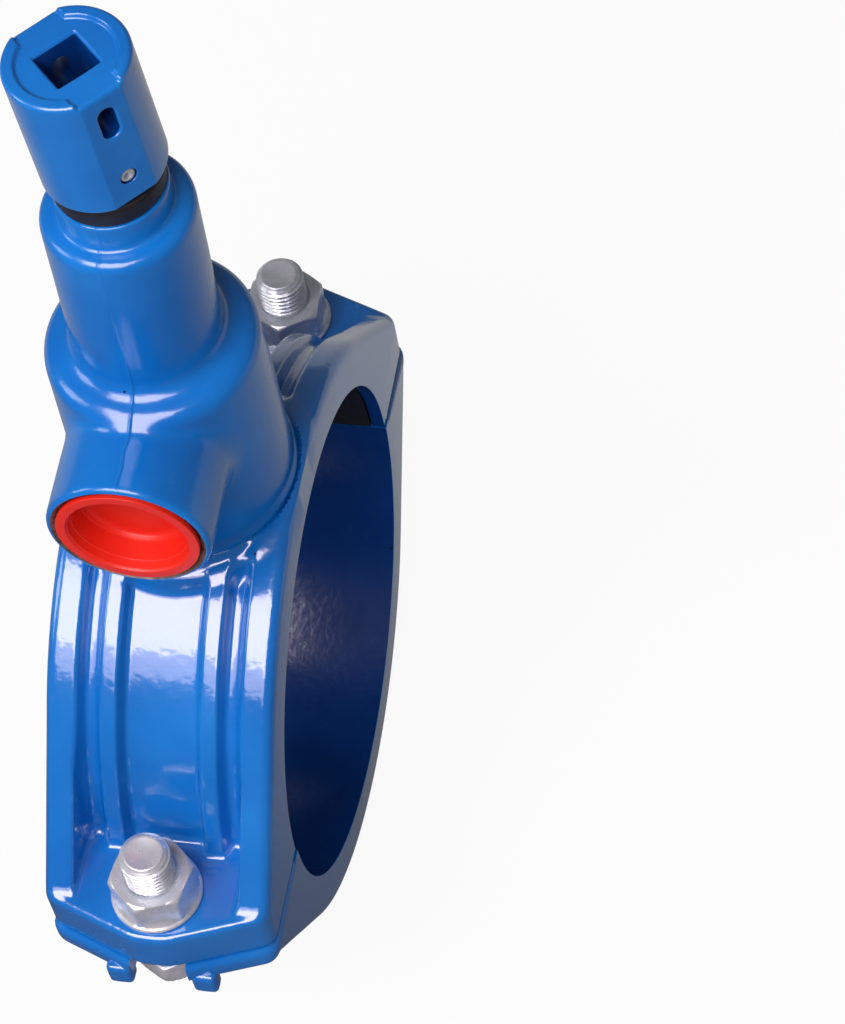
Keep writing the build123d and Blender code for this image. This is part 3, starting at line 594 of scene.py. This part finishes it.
# ---------------------------------------------------------------- transport plug
# A thin red cup moulded in polyethylene and pushed into the outlet to keep dirt out.  Its
# flange rests on the mouth, and two fine steps run round inside it.
CUP_Z = 138.1
cup = smooth_profile([
    (0, -40.2, 0), (19.5, -40.2, 1), (20.5, -41.4, 0.5), (20.5, -52.3, 0.2), (21.4, -52.3, 0.3),
    (21.4, -54.0, 0.35), (18.5, -54.0, 0.25), (18.1, -53.3, 0.12), (17.9, -53.2, 0.12),
    (17.6, -50.6, 0.1), (17.35, -50.5, 0.1), (17.1, -44.0, 0.15), (16.7, -43.9, 0.15),
    (16.2, -42.6, 0.9), (14.6, -42.0, 1.4), (0, -42.0, 0)])
plug = solid("transport_plug_cup", [(turned_sheet(cup, 160, (0, 0, CUP_Z), "y"), True)], 40)

# Moulded polyethylene: even bright red with a soft, waxy shine that drifts over 17 mm.
red_plastic, tree = new_material("red_moulded_polyethylene")
place = add(tree, "TexCoord").outputs["Object"]
cloud = add(tree, "TexNoise", Vector=place, Scale=60.0, Detail=3.0, Roughness=0.6).outputs["Fac"]
gloss = add(tree, "MapRange", i0=cloud, i1=0.3, i2=0.7, i3=0.36, i4=0.48).outputs[0]
bump = add(tree, "Bump", Strength=0.15, Distance=0.0002, Height=cloud)
plastic = add(tree, "BsdfPrincipled", Base_Color=linear("#dc2412"), Roughness=gloss, Normal=bump.outputs[0])
add(tree, "OutputMaterial", Surface=plastic.outputs[0])
finish_piece(plug, "plug", "red_plastic", [red_plastic], "outlet_plug")

# ---------------------------------------------------------------- bolts and nuts
# M16 bolts and flange nuts, cold formed and zinc plated.  The threads are rolled at 2 mm
# pitch, so their crests are slightly flat and shine.
HEXAGON_HALF, HEXAGON_CORNER = 12, 13.55
BOLT_R, THREAD_DEPTH, PITCH = 8.0, 1.15, 2.0
THREAD_LOW, THREAD_HIGH = 14.2, 44.0
NUT_BASE, NUT_TOP = 18.1, 31.4


def thread_wave(turns):
    """Height of a rolled thread over its root, 0 to 1: flat root, straight flank, flat crest."""
    way = np.abs((turns % 1.0) * 2 - 1)
    return np.clip((way - 0.14) / 0.66, 0, 1)


def ring_piece(name, rings, side, crease):
    """Piece round a bolt's axis, from rings of (radius at each turn, height at each turn)."""
    turns = np.linspace(0, 2 * np.pi, len(rings[0][0]), endpoint=False)
    radius, height = np.array(rings).transpose(1, 0, 2)
    sheet = np.stack([radius * np.cos(turns), radius * np.sin(turns) + side * BOLT_Y, height], axis=-1)
    return solid(name, [(sheet, True)], crease)


def bolt_piece(name, side):
    """Head, plain shank and thread as rings of r(turn, height).

    Head: half the width across flats over the cosine of the turn from the nearest flat,
    cut to the corners' radius.  Thread: a wave of the height over the pitch, less the turn.
    """
    turns = np.linspace(0, 2 * np.pi, 120, endpoint=False)
    flat = (turns - np.pi / 6) % (np.pi / 3) - np.pi / 6
    hexagon = np.minimum(HEXAGON_HALF / np.cos(flat), HEXAGON_CORNER)
    rings = [(0.0, -20.0), (10.6, -20.0)]
    chamfer = ((11.8, -19.8), (12.4, -19.4), (13.0, -18.8), (13.5, -18.0))
    rings += [(np.minimum(hexagon, corner), height) for corner, height in chamfer]
    rings += [(hexagon, -10.5), (hexagon - 0.4, -10.05), (11.3, -10.0), (11.3, -9.65)]
    rings += [(BOLT_R, -9.6), (BOLT_R, 14.0)]
    for height in np.arange(THREAD_LOW, THREAD_HIGH, PITCH / 16):
        wave = thread_wave(height / PITCH - turns / (2 * np.pi))
        begun = np.clip((height - THREAD_LOW) / PITCH, 0, 1)
        point = BOLT_R - 1.1 * max(height - 42.6, 0)
        rings.append((np.minimum(BOLT_R - THREAD_DEPTH * begun * (1 - wave), point), height))
    rings += [(6.2, 44.5), (5.8, 44.7), (5.2, 44.6), (3.0, 44.05), (0.0, 43.9)]
    rings = [(r + 0 * turns, h + 0 * turns) for r, h in rings]
    return ring_piece(name, rings, side, 50)


def nut_piece(name, side, spin):
    """Flange, cone and chamfered hexagon as rings of r(turn, height), with a plain bore.

    The hexagon is as the bolt head's.  A falling cone carries it out of the flange, and a
    steep cone cuts its upper corners round.
    """
    turns = np.linspace(0, 2 * np.pi, 180, endpoint=False)
    flat = (turns - np.radians(spin) - np.pi / 6) % (np.pi / 3) - np.pi / 6
    hexagon = join(HEXAGON_HALF / np.cos(flat), 13.75 + 0 * turns, 0.5)
    flange = ((7.9, 0), (13.6, 0), (14.1, 0.15), (14.4, 0.6), (14.4, 1.0), (14.1, 1.4), (13.4, 1.75))
    rings = [(r, NUT_BASE + rise) for r, rise in flange]
    for rise in np.linspace(1.9, 5.5, 14):
        cone = 13.4 - (rise - 1.75) * 0.72 + 0 * turns
        rings.append((keep(cone, hexagon, 0.8), NUT_BASE + rise))
    for height in np.linspace(NUT_BASE + 6.0, NUT_TOP, 18):
        chamfer = 12.1 + (NUT_TOP - height) * 1.35 + 0 * turns
        rings.append((join(hexagon, chamfer, 0.35), height))
    face = ((11.6, 0.05), (9.2, 0), (8.9, -0.1), (7.0, -1.6), (7.0, NUT_BASE + 1 - NUT_TOP))
    rings += [(r, NUT_TOP + rise) for r, rise in face] + [(7.9, NUT_BASE)]
    rings = [(r + 0 * turns, h + 0 * turns) for r, h in rings]
    return ring_piece(name, rings, side, 38)


# Zinc plate: bluish white metal, cloudy over 7 mm, between bright and satin, with a grain
# of 1 mm that breaks up what it mirrors.
zinc, tree = new_material("zinc_plated_steel")
place = add(tree, "TexCoord").outputs["Object"]
cloud = add(tree, "TexNoise", Vector=place, Scale=150.0, Detail=5.0, Roughness=0.65).outputs["Fac"]
colour = add(tree, "ValToRGB", Fac=cloud)
colour.color_ramp.elements[0].position = 0.32
colour.color_ramp.elements[0].color = linear("#ccd4da")
colour.color_ramp.elements[1].position = 0.66
colour.color_ramp.elements[1].color = linear("#eff5fa")
gloss = add(tree, "MapRange", i0=cloud, i1=0.3, i2=0.7, i3=0.42, i4=0.24).outputs[0]
grain = add(tree, "TexNoise", Vector=place, Scale=900.0, Detail=2.0).outputs["Fac"]
bump = add(tree, "Bump", Strength=0.25, Distance=0.00008, Height=grain)
metal = add(tree, "BsdfPrincipled", Base_Color=colour.outputs[0], Metallic=0.6, Roughness=gloss,
            Normal=bump.outputs[0])
add(tree, "OutputMaterial", Surface=metal.outputs[0])

for side, word, spin in ((-1, "front", -11.0), (1, "rear", 2.0)):
    finish_piece(bolt_piece(f"{word}_clamp_bolt", side), "saddle", "zinc_steel", [zinc], f"{word}_bolt")
    finish_piece(nut_piece(f"{word}_flange_nut", side, spin), "saddle", "zinc_steel", [zinc], f"{word}_nut")

# ---------------------------------------------------------------- drive cap
# A small blue casting with a square socket for the key, a window in each of its two flats
# and a set screw in the front one, which holds it on the spindle's tapered square.
CAP_LOW, CAP_TOP = 246.5, 291.7
CAP_R, CAP_TAPER, CAP_FLAT = 18.0, 0.1, 16.75
CAP_EDGE, CAP_FOOT_EDGE, MOUTH_EDGE = 1.4, 0.7, 0.9
RECESS_FLOOR, RECESS_ROUND_R, RECESS_WAY = 1.2, 14.0, 7.2
SQUARE_HALF, SQUARE_CORNER = 6.6, 9.15
WINDOW = (2.6, 5.9, 278.9, 12.0, 0.7)
SCREW_HOLE = (2.6, 2.6, 256.0, 8.0, 0.2)
FRONT = np.radians(-45)
CAP_LEAN, LEAN_AXIS, LEAN_Z = np.radians(2.8), Vector((0.33, -0.944, 0)), 271.5


def cap_outline(turns, height):
    """Plan radius of the cap: the smaller of a slightly tapered circle and two flats."""
    taper = CAP_R - CAP_TAPER * (height - CAP_LOW) / (CAP_TOP - CAP_LOW)
    side = np.abs(np.cos(turns - FRONT))
    return join(taper + 0 * turns, CAP_FLAT / np.maximum(side, 0.05), 0.15)


def cap_top(x, y):
    """Height of the top face: a round recess that runs out to both flats, its wall an S curve."""
    beside = np.abs(-x * np.sin(FRONT) + y * np.cos(FRONT))
    recess = np.minimum(np.hypot(x, y) - RECESS_ROUND_R, beside - RECESS_WAY)
    step = np.clip(recess / 1.2 + 0.5, 0, 1)
    return CAP_TOP - RECESS_FLOOR * (1 - step ** 2 * (3 - 2 * step))


def lean(piece):
    """Tips a piece of the cap a little, as it hangs on its tapered square."""
    pivot = Matrix.Translation((0, 0, LEAN_Z * MM))
    piece.data.transform(pivot @ Matrix.Rotation(CAP_LEAN, 4, LEAN_AXIS) @ pivot.inverted())


def cap_sheet():
    """Rings from the bottom bore, out under the cap, up its side, over the top and down the socket.

    The square's radius is its half width over the larger of |cos| and |sin| of the turn,
    measured from a side, cut to a corner radius.  Edges are quarter circles.
    """
    turns = np.linspace(0, 2 * np.pi, 480, endpoint=False)
    cosine, sine = np.cos(turns), np.sin(turns)
    square = SQUARE_HALF * np.sqrt(2) / (np.abs(cosine) + np.abs(sine))
    square = join(square, np.full(480, SQUARE_CORNER), 0.3)
    rings = []

    def ring(radius, height):
        radius = np.broadcast_to(radius, turns.shape)
        height = np.broadcast_to(height, turns.shape)
        rings.append(np.stack([radius * cosine, radius * sine, height], axis=-1))

    ring(square - 0.06, 255.0)
    ring(square, CAP_LOW)
    foot = cap_outline(turns, CAP_LOW)
    for t in np.linspace(0, np.pi / 2, 6):
        ring(foot - CAP_FOOT_EDGE * (1 - np.sin(t)), CAP_LOW + CAP_FOOT_EDGE * (1 - np.cos(t)))
    for height in np.linspace(CAP_LOW + 1.5, CAP_TOP - 3.2, 26):
        ring(cap_outline(turns, height), height)
    edge = cap_outline(turns, CAP_TOP)
    top = cap_top(edge * cosine, edge * sine)
    for t in np.linspace(0, np.pi / 2, 9):
        ring(edge - CAP_EDGE * (1 - np.cos(t)), top - CAP_EDGE * (1 - np.sin(t)))
    for t in np.linspace(0.04, 1, 44):
        radius = (edge - CAP_EDGE) * (1 - t) + (square + MOUTH_EDGE) * t
        ring(radius, cap_top(radius * cosine, radius * sine))
    for t in np.linspace(0, 1, 5)[1:]:
        ring(square + MOUTH_EDGE * (1 - t), CAP_TOP - RECESS_FLOOR - MOUTH_EDGE * t ** 1.6)
    ring(square - 0.02, 280.0)
    ring(square - 0.04, 268.0)
    rings.append(rings[0])
    return np.array(rings)


def flared_slot(name, half_width, half_height, height, depth, flare, facing=1):
    """Tool for a round-ended hole in a flat, with a mouth that flares like wet paint.

    Its outline is a circle whose upper and lower halves are moved apart.  It widens towards
    the face by a quarter circle of the flare's radius.
    """
    turns = np.linspace(0, 2 * np.pi, 64, endpoint=False)
    steps = np.linspace(0, flare, 6)
    widening = flare - np.sqrt(np.maximum(flare ** 2 - (flare - steps) ** 2, 0))
    grow = np.concatenate([[flare], widening, [0]])[:, None]
    out = np.concatenate([[1.5], -steps, [-depth]])
    straight = half_height - half_width
    a = np.cos(turns) * (half_width + grow)
    b = np.sin(turns) * (half_width + grow) + straight * np.sign(np.round(np.sin(turns), 6))
    n = np.array([np.cos(FRONT), np.sin(FRONT), 0]) * facing
    u = np.array([-np.sin(FRONT), np.cos(FRONT), 0])
    v = np.array([0, 0, 1.0])
    rings = (CAP_FLAT + out)[:, None, None] * n + a[..., None] * u + (height + b)[..., None] * v
    ends = np.broadcast_to(rings[[0, -1]].mean(axis=1, keepdims=True), (2, 64, 3))
    return solid(name, [(np.concatenate([ends[:1], rings, ends[1:]]), True)])


cap = solid("square_drive_cap", [(cap_sheet(), True)], 40)
combine(cap, flared_slot("window", *WINDOW), "DIFFERENCE", 40)
combine(cap, flared_slot("rear_window", *WINDOW, facing=-1), "DIFFERENCE", 40)
combine(cap, flared_slot("screw_hole", *SCREW_HOLE), "DIFFERENCE", 40)
cap_epoxy = blue_epoxy("blue_fused_epoxy_on_cap", (0.31, 0.17, 0.05), 0.2, 0.16, 0.7)
finish_piece(cap, "spindle", "blue_casting", [cap_epoxy, painted_shade_epoxy], "drive_cap")
# The socket and the walls of the holes in the flats take the dark navy copy of the epoxy: painted shade.
give_recess_second_material(cap, lambda x, y, z: (z < CAP_TOP - 2.6) & (np.hypot(x, y) < 15.4) & (z > CAP_LOW + 0.1))
lean(cap)

# ---------------------------------------------------------------- set screw
# A small zinc-plated screw with a hexagon socket, turned in until it lies just under the
# front flat.
grub = smooth_profile([(0, -6, 0), (2.3, -6, 0), (2.3, -0.4, 0.3), (1.9, 0, 0.2), (0, 0, 0)])
screw = solid("hexagon_socket_set_screw", [(turned_sheet(grub, 60), True)])
key_way = solid("key_way", [(turned_sheet([(0, -2.6), (1.45, -2.6), (1.45, 1), (0, 1)], 6), True)])
combine(screw, key_way, "DIFFERENCE")
reach = CAP_FLAT - 0.35
place = Vector((reach * np.cos(FRONT), reach * np.sin(FRONT), SCREW_HOLE[2])) * MM
screw.data.transform(Matrix.Translation(place) @ Matrix.Rotation(np.pi / 2, 4, Vector((1, 1, 0))))
lean(screw)
finish_piece(screw, "spindle", "zinc_steel", [zinc], "set_screw")

# ---------------------------------------------------------------- rubber
# The dust ring under the cap, the lining of the upper half and the seals, all moulded in
# black rubber.  The ring sits on the collar, off the axis as the neck's top is.
RING_LOW = 237.0

# Moulded rubber: near black and dull, dusty in spots of 6 mm that also dent it.
rubber, tree = new_material("black_moulded_rubber")
place = add(tree, "TexCoord").outputs["Object"]
cloud = add(tree, "TexNoise", Vector=place, Scale=180.0, Detail=5.0, Roughness=0.7).outputs["Fac"]
colour = add(tree, "ValToRGB", Fac=cloud)
colour.color_ramp.elements[0].color = linear("#0c0c0e")
colour.color_ramp.elements[1].color = linear("#2a2a2d")
bump = add(tree, "Bump", Strength=0.3, Distance=0.0002, Height=cloud)
surface = add(tree, "BsdfPrincipled", Base_Color=colour.outputs[0], Roughness=0.5, Normal=bump.outputs[0])
add(tree, "OutputMaterial", Surface=surface.outputs[0])

ring_profile = smooth_profile([
    (9.6, RING_LOW, 0), (15.4, RING_LOW, 0.4), (16.0, 237.8, 0.6), (16.9, 244.2, 0.8),
    (16.5, 245.3, 0.3), (9.6, 245.3, 0), (9.6, RING_LOW, 0)])
dust = solid("rubber_dust_ring", [(turned_sheet(ring_profile, 120, (1.0, 0.4, 0)), True)], 40)
finish_piece(dust, "saddle", "black_rubber", [rubber], "dust_ring")
for name in ("saddle_lining", "body_seal", "gland_lower_seal", "gland_upper_seal", "gland_outer_seal",
             "plug_face"):
    nodes[name].data.materials.clear()
    nodes[name].data.materials.append(rubber)

# ---------------------------------------------------------------- inner parts
# Inside the valve: brass seat ring, gland bush, plug and nut, a stainless spindle, washer
# and screw, all turned from bar, and an acetal thrust washer.


def turned_metal(name, colour, roughness, lines, depth):
    """Metal off a lathe: bright, with fine lines round it that draw out what it mirrors.

    The lines are `lines` to the metre, which is as fine as a close view can show.
    """
    material, tree = new_material(name)
    place = add(tree, "TexCoord").outputs["Object"]
    place = add(tree, "Mapping", Vector=place, Scale=(4, 4, lines)).outputs[0]
    grooves = add(tree, "TexNoise", Vector=place, Scale=1.0, Detail=2.0).outputs["Fac"]
    bump = add(tree, "Bump", Strength=0.2, Distance=depth, Height=grooves)
    metal = add(tree, "BsdfPrincipled", Base_Color=linear(colour), Metallic=1.0, Roughness=roughness,
                Normal=bump.outputs[0])
    add(tree, "OutputMaterial", Surface=metal.outputs[0])
    return material


brass = turned_metal("turned_brass", "#cda554", 0.28, 900, 0.00005)
steel = turned_metal("turned_stainless_steel", "#c2c2c0", 0.3, 1200, 0.00004)

# Turned acetal: black with a slight grease-like shine, uneven over 3 mm.
acetal, tree = new_material("black_acetal")
place = add(tree, "TexCoord").outputs["Object"]
cloud = add(tree, "TexNoise", Vector=place, Scale=300.0, Detail=2.0).outputs["Fac"]
gloss = add(tree, "MapRange", i0=cloud, i1=0.3, i2=0.7, i3=0.35, i4=0.5).outputs[0]
plastic = add(tree, "BsdfPrincipled", Base_Color=linear("#1b1b1d"), Roughness=gloss)
add(tree, "OutputMaterial", Surface=plastic.outputs[0])
made_of = ((brass, ("seat_ring", "gland_bush", "plunger_nut", "valve_plug")),
           (steel, ("spindle", "face_washer", "face_screw")),
           (acetal, ("thrust_washer",)))
for material, names in made_of:
    for name in names:
        nodes[name].data.materials.clear()
        nodes[name].data.materials.append(material)
